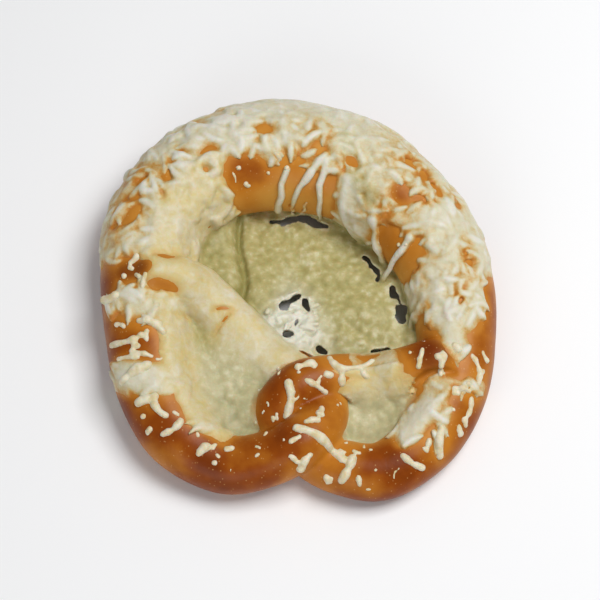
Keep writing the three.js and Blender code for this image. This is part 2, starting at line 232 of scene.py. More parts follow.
def mesh_of(name, field, stride=1, fewest=SPECK_FACES):
    """A closed mesh object where a field is zero, from every few cells and without specks."""
    grid = openvdb.FloatGrid(FAR)
    grid.copyFromArray(np.ascontiguousarray(field[::stride, ::stride, ::stride], np.float32))
    points, faces = grid.convertToQuads(0.0)
    points, faces = without_specks(points, faces.astype(int), fewest)
    corners = points[faces]
    outward = np.einsum("ij,ij->", corners[:, 0], np.cross(corners[:, 1], corners[:, 2]))
    if outward < 0:
        faces = faces[:, ::-1]
    mesh = bpy.data.meshes.new(name)
    mesh.from_pydata((points * stride * CELL + low) * MM, [], faces)
    mesh.shade_smooth()
    piece = bpy.data.objects.new(name, mesh)
    bpy.context.scene.collection.objects.link(piece)
    return piece


def linear(code):
    """An sRGB hex colour as linear RGBA."""
    channels = [int(code[k : k + 2], 16) / 255 for k in (1, 3, 5)]
    return [c / 12.92 if c <= 0.04045 else ((c + 0.055) / 1.055) ** 2.4 for c in channels] + [1.0]


def add(material, kind, inputs=None, stops=None, **settings):
    """Adds a shader node with its settings, its values and the links into it."""
    node = material.node_tree.nodes.new(kind)
    for name, value in settings.items():
        setattr(node, name, value)
    for name, value in (inputs or {}).items():
        if isinstance(value, bpy.types.NodeSocket):
            material.node_tree.links.new(value, node.inputs[name])
        else:
            node.inputs[name].default_value = value
    for k, (place, code) in enumerate(stops or []):
        spot = node.color_ramp.elements[k] if k < 2 else node.color_ramp.elements.new(place)
        spot.position = place
        spot.color = linear(code)
    return node


def new_material(name):
    """A material with no nodes yet."""
    material = bpy.data.materials.new(name)
    material.use_nodes = True
    material.node_tree.nodes.clear()
    return material


def per_mm(size):
    """The scale of a pattern whose marks are about size millimetres apart."""
    return 1 / (size * MM)


pretzel = mesh_of("pretzel_dough", np.maximum(dough, -height), stride=2)
crust = new_material("lye_crust")  # glossy red-brown, amber beside the cheese, golden low on the inner walls, partly crust that browned less there and partly painted light on walls that lie in shade
film = add(crust, "ShaderNodeAttribute", attribute_name="film").outputs["Fac"]
# Paler where the cheese sheltered the crust, and painted paler on the shaded inner walls of the belly.
kept = add(crust, "ShaderNodeAttribute", attribute_name="sheltered").outputs["Fac"]
burnt = add(crust, "ShaderNodeAttribute", attribute_name="scorched").outputs["Fac"]
place = add(crust, "ShaderNodeTexCoord").outputs["Object"]
blotch = add(
    crust, "ShaderNodeTexNoise", {"Vector": place, "Scale": per_mm(BLOTCH), "Detail": 5.0}
).outputs["Fac"]
uneven = add(
    crust, "ShaderNodeMapRange", {"Value": blotch, "From Min": 0.33, "From Max": 0.67, "To Max": 0.42}
).outputs[0]
browned = add(crust, "ShaderNodeMath", {0: kept, 1: 0.6, 2: uneven}, operation="MULTIPLY_ADD").outputs[0]
brown = add(
    crust,
    "ShaderNodeValToRGB",
    {"Fac": browned},
    stops=[(0.0, "#5E2000"), (0.26, "#8C4203"), (0.55, "#BC7520"), (1.0, "#D09844")],
).outputs["Color"]
fried = add(crust, "ShaderNodeMapRange", {"Value": film, "From Max": 0.25}).outputs[0]
toasted = add(crust, "ShaderNodeMix", {0: fried, 6: brown, 7: linear(AMBER)}, data_type="RGBA").outputs[2]
dark = add(crust, "ShaderNodeMix", {0: burnt, 6: toasted, 7: linear("#571A08")}, data_type="RGBA").outputs[2]
dots = add(crust, "ShaderNodeTexVoronoi", {"Vector": place, "Scale": per_mm(BLISTER)}).outputs["Distance"]
speck = add(
    crust,
    "ShaderNodeMapRange",
    {"Value": dots, "From Min": 0.08, "From Max": 0.16, "To Min": 0.5, "To Max": 0.0},
).outputs[0]
specked = add(crust, "ShaderNodeMix", {0: speck, 6: dark, 7: linear("#D2A468")}, data_type="RGBA").outputs[2]
grain = add(
    crust, "ShaderNodeTexNoise", {"Vector": place, "Scale": per_mm(GRAIN), "Detail": 3.0}
).outputs["Fac"]
leather = add(crust, "ShaderNodeBump", {"Strength": 0.15, "Distance": 0.0004, "Height": grain}).outputs[0]
crust_skin = add(
    crust,
    "ShaderNodeBsdfPrincipled",
    {"Base Color": specked, "Roughness": 0.36, "IOR": 1.45, "Specular IOR Level": 0.2, "Normal": leather},
)
add(crust, "ShaderNodeOutputMaterial", {"Surface": crust_skin.outputs[0]})
pretzel.data.materials.append(crust)
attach(pretzel, "root")
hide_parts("pretzel")

# Melted cheese. Grated pale cheese strewn over the belly, the shoulders and the left arm before baking. It
# melted into a smooth film with half-sunk shreds, ran down the inner walls in strings, and closed the three
# windows with sagging webs.
COVER = [  # share of the rope from, to, angle from the crown from, to, thickness
    (0.381, 0.665, -84, 34, 0.85),
    (0.356, 0.469, 14, 140, 1.1),
    (0.347, 0.386, -72, 140, 0.9),
    (0.236, 0.348, 20, 140, 1.1),
    (0.62, 0.695, -30, 47, 0.85),
    (0.646, 0.682, 30, 122, 0.8),
    (0.008, 0.127, -140, 140, 1.2),
    (0.912, 0.945, -80, 30, 0.45),
    (0.912, 0.968, 14, 140, 1.2),
]
CORNER = 8  # rounding of the corners of a covered stretch
BAND_THICK = 0.9
BANDS = [  # half width, then x and y of points along a stripe of cheese
    (5, (19, 48), (20, 39), (20, 33), (21.5, 27.5), (23, 24)),
    (3, (27, 33), (28, 26), (29.5, 20)),
    (5, (51, -42), (46, -47.5), (41, -53), (38, -57.5)),
    (1.8, (53.5, -38.7), (61, -39.5), (67, -39)),
    (1.4, (53.5, -46), (52.5, -53), (51, -60), (50, -66)),
    (5.5, (49, -2), (53.5, -13)),
    (4, (53.5, -13), (56, -20), (58, -26.5)),
    (4, (-69, -8), (-63, -10), (-55, -11)),
    (6, (-62, -36), (-56, -37.5), (-48, -39)),
    (6.5, (28, -26), (31, -33), (28, -42)),
]
BARE = [  # x, y, half length, half width and turn in degrees of a patch of crust that shows through
    (-18, 40, 10, 8, 0), (-48.5, 42, 4.5, 2.3, 80), (-51, 33.5, 3.2, 2, -60), (-44, 50, 2.5, 1.6, -35),
    (-34.5, 40.5, 3.5, 2, -60), (-34, 49, 2.2, 1.5, 30), (-61, 25, 4, 2.6, 55), (-65.5, 22, 4.5, 1.8, 10),
    (-61.5, 32.5, 2.5, 1.2, 30), (-57.5, 40, 2.6, 1.7, 30), (-13.5, 58, 4, 3.2, 60), (8, 50, 3.2, 2.6, 90),
    (-3, 46, 6, 3, 0), (9, 41, 5, 1.7, 90), (18.5, 44.5, 3.2, 2, 0), (38.5, 32.5, 4.8, 3.4, 90),
    (47, 30.5, 5, 2, -15), (44, 45, 6, 1.6, -40), (50.5, 36.5, 5.5, 1.7, -50), (58.5, 33.5, 4.5, 1.8, -60),
    (31, 21, 3.5, 3.5, 0), (40, 13, 7, 6, 0), (40.5, 7.5, 4, 3, 80), (59.5, -6.5, 5, 3, 80),
    (62.5, 7, 6, 2, 90), (-51.5, -3.8, 8, 2.5, -4), (-49, 8.5, 4, 1, -5), (-61, 3, 7, 5, 0),
    (-72, 1, 5, 7, 0),
]
SCORCHED = [  # the same, and how dark
    (-61, 3, 6.5, 4.5, 0, 0.6),
    (-72, 1, 5, 7, 0, 0.15),
    (48.5, -29.5, 8, 6, 10, 0.5),
]
SKIN_BAND = (-2.5, 6.5)  # distance from the dough's skin within which cheese may lie
EDGE_BAYS = [(11, 8, 2.2), (12, 3, 0.7)]  # seed, size and height of the bays along the cheese's edge
BARE_BAYS = 0.45  # the part of them that the edge of a bare patch has
BARE_SHORT = 0.6  # how far short of its half width the depth of a bare patch stops
EDGE_FADE = (-2.5, 4.5)  # distance from the edge over which the cheese thickens
EDGE_REACH = 3  # how far past its edge a stretch keeps its thickness
UNDERSIDE = 125  # angle from the crown at which the underside begins
WEAR = [(15, 6, 4)]  # seed, size and depth of the spots where the film is worn thin
WEAR_MEAN = 4
WEAR_LEAST = 0.6
WEAR_SPARED = 3  # how much less the outer flank and the thick cheese are worn
OUTER_FLANK = (35, 75)  # angles from the crown over which the outer flank begins
FILM_BASE = 0.15  # how well the film covers the crust, more so where it is thick
FILM_GAIN = 0.72
FILM_CLOUDS = [(16, 13, 0.28)]
FILM_RELIEF = [(13, 5, 0.3), (14, 14, 0.3), (17, 2.2, 0.15)]
EDGE_SINK = 0.5  # how far the thin film lies under the skin, and how far more where none is left
LOST_SINK = 1.5
POURED = (0.9, 1.1)  # thicker cheese ran together and turned yellow
POURED_RELIEF = [(18, 6.5, 0.55), (19, 2.8, 0.3)]
FILM_LEAST = 0.12  # share of its thickness below which the film left nothing
FILM_ROOT = 1.1  # how deep the cheese reaches into the dough
TRAY_GAP = 1  # height over the tray at which its runs end
WEB_TOP = 10.4
WEB_THICK = 3.2
WEB_LEAST = 1
WEB_WAVE = (31, 9)  # seed and size of its slow waves
WEB_DIP = 2.5  # how much lower the web hangs along the belly's inner wall
DIP_FROM = (8, 32)  # y over which it sinks
WEB_ROOT = 6  # how far inside the rope's middle line the web ends, within the dough
WEB_FILLET = 2.5  # how far the web creeps up the walls
FILLET_BELLY = -1.5  # how much further by the belly, the twist, the left shoulder and in the side windows
FILLET_TWIST = 2.5
FILLET_SHOULDER = 7
FILLET_LEFT = 9
FILLET_RIGHT = 6
FILLET_WAVE = 1.5
FILLET_LEAST = 0.8
WALL_SEAT = 0.7  # depth under the dough's skin at which the fillet ends
WALL_JOIN = 0.8  # fillet between the web and the film on the walls
BUBBLES = [(32, 3.8, 0.6), (33, 1.9, 0.4)]
BUBBLE_RISE = 1.7
BUBBLE_CLUSTERS = (34, 9)  # seed and size of the places with many bubbles
BUBBLE_CALM = 0.3  # the part of their height that is left elsewhere
PLEAT_AT = -23  # x of the pleat across the centre web
PLEAT_FROM = (-6, 4)  # y over which it begins
PLEAT_SWAY = 1.2
PLEAT_WIDE = 1.8  # half width of its groove
PLEAT_RISE = 3
PLEAT_DEEP = 2.6
PLEAT_TINT = 2.6  # how far up the pleat the web's yellow reaches
HOLES = [  # x, y, half length, half width and turn of a torn hole
    (-3, 35.5, 7.5, 1.5, 2), (7.5, 33.3, 4, 1.1, -18), (28, 14.8, 5, 1.3, -60), (37, 1.3, 4, 0.7, -63),
    (38.5, -6, 3.6, 1.8, 80),
    (-3, -1, 4, 1.3, 35), (3, -2, 2.4, 0.8, -60), (-16.5, -11.5, 3.2, 1.3, 70), (-0.5, -9.5, 1.9, 0.8, 75),
    (-3.5, -15, 1, 0.8, 0), (2.5, -23.5, 3, 1.3, -25), (8.5, -20.5, 2, 1, -40), (-9, -24, 1.6, 0.8, -20),
    (31, -21.5, 4, 0.8, 5), (14, -42.5, 3, 1, -20),
]
HOLE_TEETH = (35, 1.8)  # seed and size of the teeth along its edge
HOLE_JAGS = 1.3  # how far they reach
HOLE_FLARE = 3  # depth over which a hole widens downwards
HOLE_OVER = 3  # how far above the web's level it still tears the cheese
FOLDS = [  # creases in the cheese of the left arm
    [(-31, -17.5), (-28, -13.5), (-24.5, -10)],
    [(-31, -9.5), (-28, -8.5), (-24, -8.5)],
]
FOLD_DEEP = 0.8
FOLD_AMBER = 0.6  # how far the film thins to amber in them
CRUMBLY = (-2.5, -12.5, 12, 15, 0)  # where the centre web set dry, white and torn
CRUMBLY_FADE = 7
STRINGS = [  # share, angle, rise off the skin and radius at each point of cheese that ran down a wall
    [(0.517, 42, 0.4, 1.1), (0.5135, 74, 0.5, 1.1), (0.511, 100, 0.5, 1.7), (0.511, 106, 0.4, 1.3)],
    [(0.544, 20, 0.2, 1.6), (0.535, 40, 0.4, 1.5), (0.528, 59, 0.5, 1.2), (0.523, 90, 0.5, 0.8)],
    [(0.523, 90, 0.5, 0.8), (0.523, 119, 1.2, 0.6)],
    [(0.534, 80, 0.3, 0.5), (0.53, 119, 1.2, 0.6)],
    [(0.545, 25, 0.2, 1.2), (0.545, 52, 0.5, 1.4), (0.547, 90, 0.5, 1), (0.548, 116, 1, 0.7)],
    [(0.565, 34, -0.6, 2.2), (0.572, 60, -0.5, 2.1), (0.584, 99, 0, 1.8), (0.596, 118, 0.6, 1.6)],
    [(0.6, 55, -0.3, 2), (0.612, 85, 0.4, 1.6), (0.626, 116, 1, 1.2)],
    [(0.628, 35, 0, 1.8), (0.633, 50, 0.6, 1.5), (0.635, 84, 2.6, 1.2), (0.64, 112, 8, 1)],
    [(0.672, 45, 0, 1.6), (0.68, 64, 0.3, 1.2), (0.684, 88, 1.2, 1), (0.69, 112, 3, 1)],
]
STRING_FILLET = 1.2
STRING_KNOBS = (0.7, 1.35)  # how unevenly thick the strings are
STRING_SWAY = 0.0015  # how far they wander, as a share of the rope
STRING_YELLOW = 0.35
RUN = [(17.6, 55), (19.5, 46), (23, 38), (27, 31)]  # yellow fat that ran down the belly
RUN_EDGE = (0.5, 4.5)  # distance from its middle over which it fades
RUN_YELLOW = 0.6
SUNK = 620  # half-sunk shreds on the film
SUNK_SHARES = (0.22, 0.80)  # the stretch of the rope and the angles that they fell on
SUNK_ANGLES = (-88, 100)
SUNK_LENGTH = (3, 10)
SUNK_WIDTH = (0.5, 1.05)
SUNK_RISE = (-0.3, 0.6)
SUNK_BEND = (-0.12, 0.12)
SUNK_FILLET = 2
CROWN_SHARES = (0.35, 0.69)  # the top of the belly, where they lie thickest
CROWN_ANGLES = (-45, 50)
OFF_CROWN = 0.25  # the part of them that stayed elsewhere
HOLD_AMOUNT = 0.2  # film that holds a shred, and how near the skin it has to be
HOLD_NEAR = 1.5
DRY = 110  # dry crumbs on the centre web
DRY_LENGTH = (0.3, 4)
DRY_WIDTH = (0.5, 1)
DRY_RISE = (-0.4, 0.6)
DRY_FILLET = 0.5
MELT_FACES = 98000  # size of the cheese's mesh, in four-sided faces
MELT_SPECK = 60
FIBRE = 3.8  # length of the shreds' marks that are left in the film
STAIN = 17  # size of its paler and darker clouds
PORE = 2.4  # spacing of the bubbles
PAINTED_GROOVE_SHADE = 0.4  # how much painted shade darkens the cheese along the pleat's groove
WALL_GOLD_AND_LIGHT = 0.18  # how much paler the crust is painted on the inner walls of the belly, partly crust that browned less there and partly painted light on walls that lie in shade
SHELTER_LEAST = 0.17  # how pale it is far from the cheese, and how much paler it stayed near it
SHELTER_GAIN = 3


def blend(one, other, reach):
    """Two solids joined with a fillet."""
    mixed = np.clip(0.5 + 0.5 * (other - one) / reach, 0, 1)
    return other + (one - other) * mixed - reach * mixed * (1 - mixed)


def ease(value, start, stop):
    """0 before start, 1 after stop and a smooth rise between them."""
    part = np.clip((value - start) / (stop - start), 0, 1)
    return part * part * (3 - 2 * part)


def oval(place, x, y):
    """Distance in plan outside an oval patch, negative inside it."""
    across_x, across_y, half_length, half_width, turn = place
    c, s = math.cos(math.radians(turn)), math.sin(math.radians(turn))
    u = ((x - across_x) * c + (y - across_y) * s) / half_length
    v = ((y - across_y) * c - (x - across_x) * s) / half_width
    out = np.hypot(u, v)
    steepness = np.maximum(np.hypot(u / half_length, v / half_width), 1e-6)
    return np.maximum(out * (out - 1) / steepness, -min(half_length, half_width))


def off_line(start, stop, x, y):
    """Distance in plan from the straight line between two points."""
    dx, dy = stop[0] - start[0], stop[1] - start[1]
    part = np.clip(((x - start[0]) * dx + (y - start[1]) * dy) / (dx * dx + dy * dy), 0, 1)
    return np.hypot(x - start[0] - part * dx, y - start[1] - part * dy)


def off_path(path, x, y):
    """Distance in plan from a path through several points."""
    return np.min([off_line(start, stop, x, y) for start, stop in zip(path, path[1:])], axis=0)


# The film over the dough, by how far each cell near the skin lies inside a covered stretch or a stripe.
skin = np.nonzero((dough > SKIN_BAND[0]) & (dough < SKIN_BAND[1]))
cells = np.stack([axes[k][skin[k]] for k in range(3)], 1)
station = nearest[skin]
offset = cells - middle[station]
angle = np.degrees(
    np.arctan2((offset * side[station]).sum(1), (offset * up[station]).sum(1) / ROUNDNESS)
)
ragged = relief(EDGE_BAYS)[skin]
around = np.radians(1) * half[station]
inside = np.full(len(cells), -FAR)
thick = np.zeros(len(cells))
for share_from, share_to, angle_from, angle_to, depth in COVER:
    lengthwise = np.minimum(share[station] - share_from, share_to - share[station]) * rope_length
    crosswise = np.minimum(angle - angle_from, angle_to - angle) * around
    margin = blend(lengthwise, crosswise, CORNER)
    thick = np.where(margin > -EDGE_REACH, np.maximum(thick, depth), thick)
    inside = np.maximum(inside, margin)
for half_width, *stripe in BANDS:
    margin = half_width - off_path(stripe, cells[:, 0], cells[:, 1])
    margin = np.where(np.abs(angle) < UNDERSIDE, margin, -FAR)
    thick = np.where(margin > -EDGE_REACH, np.maximum(thick, BAND_THICK), thick)
    inside = np.maximum(inside, margin)
inside = inside + ragged
for patch in BARE:
    gap = oval(patch, cells[:, 0], cells[:, 1]) + BARE_BAYS * ragged
    inside = np.minimum(inside, np.maximum(gap, BARE_SHORT - patch[3]))
# The film is worn thin in places, but less so on the outer flank and where it is thick.
worn = np.maximum(WEAR_MEAN + relief(WEAR)[skin], WEAR_LEAST)
worn = worn + WEAR_SPARED * ease(-angle, *OUTER_FLANK) + WEAR_SPARED * (thick > 1)
inside = np.minimum(inside, worn)
covering = np.clip(FILM_BASE + FILM_GAIN * thick + relief(FILM_CLOUDS)[skin], 0, 1)
amount = ease(inside, *EDGE_FADE) * covering
swell = relief(FILM_RELIEF)[skin] + ease(thick, *POURED) * relief(POURED_RELIEF)[skin]
sunken = EDGE_SINK * (1 - amount) + LOST_SINK * ease(-amount, -FILM_LEAST, -FILM_LEAST / 2)
cheese = np.full(shape, FAR)
cheese[skin] = dough[skin] - (thick + swell) * amount + sunken
spread_over = np.ones(shape)
spread_over[skin] = amount
poured = np.zeros(shape)
poured[skin] = ease(thick, *POURED)
threads = np.full(shape, FAR)


def skin_point(station_share, turn, rise):
    """A point over the rope's skin, by share of its length and angle from the crown."""
    place = np.clip(np.asarray(station_share) * (STATIONS - 1), 0, STATIONS - 1.01)
    k = place.astype(int)
    part = place - k
    centre, inward, upward = (v[k] + part[..., None] * (v[k + 1] - v[k]) for v in (middle, side, up))
    radius = half[k] + part * (half[k + 1] - half[k])
    turn = np.radians(turn)
    across = ((radius + rise) * np.sin(turn))[..., None] * inward
    return centre + across + ((radius * ROUNDNESS + rise) * np.cos(turn))[..., None] * upward


def lay(points, radii, fillet, yellow=0.0):
    """Adds a strand to the cheese, white or a little yellow."""
    block, body = strand(points, radii)
    cheese[block] = blend(cheese[block], body, fillet)
    threads[block] = np.minimum(threads[block], body + yellow)


# Half-sunk shreds all over the film, and the strings on the walls.
draw = np.random.default_rng(21)
laid = 0
while laid < SUNK:
    start = draw.uniform(*SUNK_SHARES)
    turn = draw.uniform(*SUNK_ANGLES)
    heading = draw.uniform(0, math.tau)
    length = draw.uniform(*SUNK_LENGTH)
    width = draw.uniform(*SUNK_WIDTH)
    rise = draw.uniform(*SUNK_RISE)
    bend = draw.uniform(*SUNK_BEND)
    chance = draw.random()
    point = skin_point(start, turn, 0.5)
    on_crown = CROWN_ANGLES[0] <= turn <= CROWN_ANGLES[1] and CROWN_SHARES[0] < start < CROWN_SHARES[1]
    likely = 1 if on_crown else OFF_CROWN
    held = value_at(spread_over, point) >= HOLD_AMOUNT and abs(value_at(dough, point)) <= HOLD_NEAR
    if not held or chance > likely:
        continue
    laid += 1
    run = np.linspace(-length / 2, length / 2, int(2 * length) + 2)
    bearing = heading + bend * run
    shares = start + np.cumsum(np.cos(bearing)) * (run[1] - run[0]) / rope_length
    shares -= shares.mean() - start
    turns = np.cumsum(np.sin(bearing)) * (run[1] - run[0]) / half[int(start * (STATIONS - 1))]
    turns = turn + np.degrees(turns - turns.mean())
    radii = width * np.sqrt(np.clip(1.06 - (2 * run / length) ** 2, 0.15, 1))
    lay(skin_point(shares, turns, rise), radii, SUNK_FILLET)
for string in STRINGS:
    points = np.array(string)
    fine = np.linspace(0, len(string) - 1, 40 * len(string))
    shares, turns, rises, radii = (np.interp(fine, np.arange(len(string)), points[:, k]) for k in range(4))
    knobs = np.interp(fine, np.linspace(0, len(string) - 1, 9), draw.uniform(*STRING_KNOBS, 9))
    sway = np.interp(fine, np.linspace(0, len(string) - 1, 7), draw.uniform(-STRING_SWAY, STRING_SWAY, 7))
    lay(skin_point(shares + sway, turns, rises), radii * knobs, STRING_FILLET, yellow=STRING_YELLOW)

# The webs across the windows, with bubbles, a pleat, dry crumbs and torn holes.
x, y = axes[0][:, None], axes[1][None, :]
level = int((WEB_TOP - low[2]) / CELL)
wave = lumps(*WEB_WAVE)[:, :, level]
clustered = ease(lumps(*BUBBLE_CLUSTERS)[:, :, level], -0.5, 0.9)
bubbles = relief(BUBBLES)[:, :, level] * (BUBBLE_CALM + (1 - BUBBLE_CALM) * clustered)
crumbs = 1 - ease(oval(CRUMBLY, x, y) + 4 * wave + 3 * bubbles, -CRUMBLY_FADE, CRUMBLY_FADE)
dip = WEB_DIP * ease(y, *DIP_FROM)
pleat_x = PLEAT_AT + PLEAT_SWAY * np.sin(y / 6) + 1.5 * wave
raised = ease(pleat_x - x, -2, 5) * ease(y, *PLEAT_FROM)
groove = np.exp(-(((x - pleat_x - 1) / PLEAT_WIDE) ** 2)) * ease(y, *PLEAT_FROM)
below = WEB_TOP - WEB_THICK - dip + 0.4 * wave
top = WEB_TOP - dip + wave + BUBBLE_RISE * bubbles + PLEAT_RISE * raised - PLEAT_DEEP * groove
top = np.maximum(top, below + WEB_LEAST)
web = np.maximum(height - top[:, :, None], below[:, :, None] - height)
ring = [knot[:2] for knot in ROUTE[LOOP]]
ring.append(ring[0])
edge = off_path(ring, x, y)
within = np.zeros(wave.shape, bool)
for start, stop in zip(ring, ring[1:]):
    spans = (start[1] > y) != (stop[1] > y)
    crossing = start[0] + (y - start[1]) * (stop[0] - start[0]) / ((stop[1] - start[1]) or 1)
    within ^= spans & (x < crossing)
web = np.maximum(web, WEB_ROOT + np.where(within, -edge, edge)[:, :, None])
# The fillet is small under the belly, and wide where cheese heaped up in the corners of the windows.
past_arm = 0.65 * (x + 34.5) + 0.76 * (y + 2)  # distance past the left arm, square to it
by_belly = ease(y, 10, 24)
by_twist = ease(-y, 10, 22)
by_left_shoulder = ease(-x, 14, 24) * ease(y, 4, 14)
left_window = ease(-x, 8, 22) * (1 - ease(past_arm, -1, 4)) * ease(y, -62, -44)
right_window = ease(x, 16, 26) * ease(y, -54, -44) * ease(-y, 28, 38)
fillet = WEB_FILLET + FILLET_BELLY * by_belly + FILLET_TWIST * by_twist + FILLET_SHOULDER * by_left_shoulder
fillet = fillet + FILLET_LEFT * left_window + FILLET_RIGHT * right_window
fillet = np.maximum(fillet + FILLET_WAVE * wave, FILLET_LEAST)[:, :, None]
wall = dough + WALL_SEAT + ease(web, 0.6 * fillet, fillet)
cheese = blend(cheese, blend(web, wall, fillet), WALL_JOIN)
for k in range(DRY):
    out, bearing = math.sqrt(draw.random()), draw.uniform(0, math.tau)
    spot_x = CRUMBLY[0] + CRUMBLY[2] * out * math.cos(bearing)
    spot_y = CRUMBLY[1] + CRUMBLY[3] * out * math.sin(bearing)
    heading, length, width = draw.uniform(0, math.pi), draw.uniform(*DRY_LENGTH), draw.uniform(*DRY_WIDTH)
    run = np.linspace(-length / 2, length / 2, int(2 * length) + 2)
    rise = value_at(top[:, :, None], np.array([spot_x, spot_y, 0])) + draw.uniform(*DRY_RISE)
    line = [spot_x + run * math.cos(heading), spot_y + run * math.sin(heading), np.full(len(run), rise)]
    lay(np.stack(line, 1), np.full(len(run), width), DRY_FILLET)
for fold in FOLDS:
    crease(cheese, fold, FOLD_DEEP)
jagged = lumps(*HOLE_TEETH)[:, :, level]
flare = 0.5 * np.clip(top[:, :, None] - height, 0, HOLE_FLARE)
for hole in HOLES:
    torn = (oval(hole, x, y) + HOLE_JAGS * jagged)[:, :, None] - flare
    cheese = np.maximum(cheese, -np.maximum(torn, height - WEB_TOP - HOLE_OVER))
cheese = np.maximum(cheese, -(dough + FILM_ROOT))
cheese = np.maximum(cheese, TRAY_GAP - height)


def at_points(field, mesh):
    """A field's value at each vertex of a mesh."""
    points = np.empty(3 * len(mesh.vertices), np.float32)
    mesh.vertices.foreach_get("co", points)
    place = (points.reshape(-1, 3) / MM - low) / CELL
    base = np.clip(place.astype(int), 0, np.array(field.shape) - 2)
    part = place - base
    value = 0
    for corner in np.ndindex(2, 2, 2):
        weight = np.prod(np.where(corner, part, 1 - part), axis=1)
        value = value + weight * field[tuple((base + corner).T)]
    return value


def at_plan(plan, mesh):
    """The value of a field in plan at each vertex of a mesh."""
    return at_points(np.broadcast_to(plan[:, :, None], shape), mesh)


def note(mesh, name, values):
    """A number kept on each vertex for the materials to read."""
    mesh.attributes.new(name, "FLOAT", "POINT").data.foreach_set("value", values.astype(np.float32))


melt = mesh_of("melted_cheese", cheese, fewest=MELT_SPECK)
thin = melt.modifiers.new("thin", "DECIMATE")
thin.ratio = min(1, MELT_FACES / len(melt.data.polygons))
melt.data = bpy.data.meshes.new_from_object(melt.evaluated_get(bpy.context.evaluated_depsgraph_get()))
melt.modifiers.clear()
# What the materials read: where the cheese is thin, white, yellow or dry, its painted light on crests and
# painted shade in hollows and along the pleat, and the crust sheltered, burnt or painted paler on the shaded
# inner walls.
over_web = (WEB_TOP - dip + PLEAT_TINT * raised)[:, :, None] - height
heaped = ease(at_points(dough, melt.data), 0.8, 2.2)
bent = np.min([off_path(fold, x, y) for fold in FOLDS], axis=0) + 0.8 * jagged
thinned = at_plan(FOLD_AMBER * (1 - ease(bent, 0.2, 3)), melt.data)
note(melt.data, "film", np.maximum(at_points(spread_over, melt.data), heaped) - thinned)
note(melt.data, "thread", ease(-at_points(threads, melt.data), -0.9, 0))
note(melt.data, "poured", at_points(soften(poured, 4), melt.data))
painted_groove_shade = PAINTED_GROOVE_SHADE * at_plan(groove, melt.data)
# Painted light and shade on the webs: the blurred field is higher on crests and bumps, which are painted
# lighter, and lower in hollows and along the pleat, which are painted darker.
note(melt.data, "crest", at_points(soften(cheese, 2), melt.data) - painted_groove_shade)
ran = off_path(RUN, x, y) + 1.5 * wave
oily = RUN_YELLOW * at_plan(1 - ease(ran, *RUN_EDGE), melt.data)
note(melt.data, "web", np.maximum(ease(at_points(over_web, melt.data), -7, -1.5), oily))
paler = np.maximum(crumbs, 0.5 * ease(-y, 16, 28))
note(melt.data, "crumbs", at_plan(paler, melt.data))
# Painted light: the inner walls of the belly, which lie in shade, are painted paler, on top of the less
# browned crust that they really have.
inner_wall_gold_and_light = np.zeros(shape)
inner_wall_gold_and_light[skin] = WALL_GOLD_AND_LIGHT * ease(angle, 35, 80) * ease(half[station], 12, 16)
shelter_and_lit_wall = soften(soften((cheese < 0).astype(float), 6), 6) + inner_wall_gold_and_light
scorched = sum(burn * (1 - ease(oval(patch, x, y), -3, 1.5)) for *patch, burn in SCORCHED)
note(pretzel.data, "film", at_points(spread_over, pretzel.data))
sheltered = SHELTER_LEAST + at_points(shelter_and_lit_wall, pretzel.data) * SHELTER_GAIN
note(pretzel.data, "sheltered", np.clip(sheltered, 0, 1))
note(pretzel.data, "scorched", at_plan(scorched, pretzel.data))

melted = new_material("melted_cheese")  # satin cream, amber where thin, white on shreds, yellow on the webs, with painted shade in the webs' hollows and pleat and painted light on their crests
film = add(melted, "ShaderNodeAttribute", attribute_name="film").outputs["Fac"]
thread = add(melted, "ShaderNodeAttribute", attribute_name="thread").outputs["Fac"]
run_thick = add(melted, "ShaderNodeAttribute", attribute_name="poured").outputs["Fac"]
crest = add(melted, "ShaderNodeAttribute", attribute_name="crest").outputs["Fac"]
webbed = add(melted, "ShaderNodeAttribute", attribute_name="web").outputs["Fac"]
dry = add(melted, "ShaderNodeAttribute", attribute_name="crumbs").outputs["Fac"]
place = add(melted, "ShaderNodeTexCoord").outputs["Object"]
fibre = add(
    melted,
    "ShaderNodeTexNoise",
    {"Vector": place, "Scale": per_mm(FIBRE), "Detail": 6.0, "Roughness": 0.7, "Distortion": 0.3},
).outputs["Fac"]
stain = add(
    melted, "ShaderNodeTexNoise", {"Vector": place, "Scale": per_mm(STAIN), "Detail": 3.0}
).outputs["Fac"]
cloudy = add(melted, "ShaderNodeMath", {0: stain, 1: 0.5, 2: fibre}, operation="MULTIPLY_ADD").outputs[0]
shift = add(
    melted,
    "ShaderNodeMapRange",
    {"Value": cloudy, "From Min": 0.45, "From Max": 1.05, "To Min": -0.35, "To Max": 0.2},
).outputs[0]
laid_on = add(melted, "ShaderNodeMath", {0: thread, 1: 0.6, 2: shift}, operation="MULTIPLY_ADD").outputs[0]
richness = add(melted, "ShaderNodeMath", {0: film, 1: 0.85, 2: laid_on}, operation="MULTIPLY_ADD").outputs[0]
cream = add(
    melted,
    "ShaderNodeValToRGB",
    {"Fac": richness},
    stops=[(0.1, AMBER), (0.26, "#C2924A"), (0.42, "#CBB482"), (0.62, "#D0C8A8"), (1.0, "#DBD7C8")],
).outputs["Color"]
golden = add(
    melted,
    "ShaderNodeMapRange",
    {"Value": cloudy, "From Min": 0.55, "From Max": 0.95, "To Min": 0.9, "To Max": 0.2},
).outputs[0]
yellowed = add(melted, "ShaderNodeMath", {0: run_thick, 1: golden}, operation="MULTIPLY").outputs[0]
creamy = add(
    melted, "ShaderNodeMix", {0: yellowed, 6: cream, 7: linear("#D2BE7E")}, data_type="RGBA"
).outputs[2]
pores = add(
    melted, "ShaderNodeTexVoronoi", {"Vector": place, "Scale": per_mm(PORE)}, feature="SMOOTH_F1"
).outputs["Distance"]
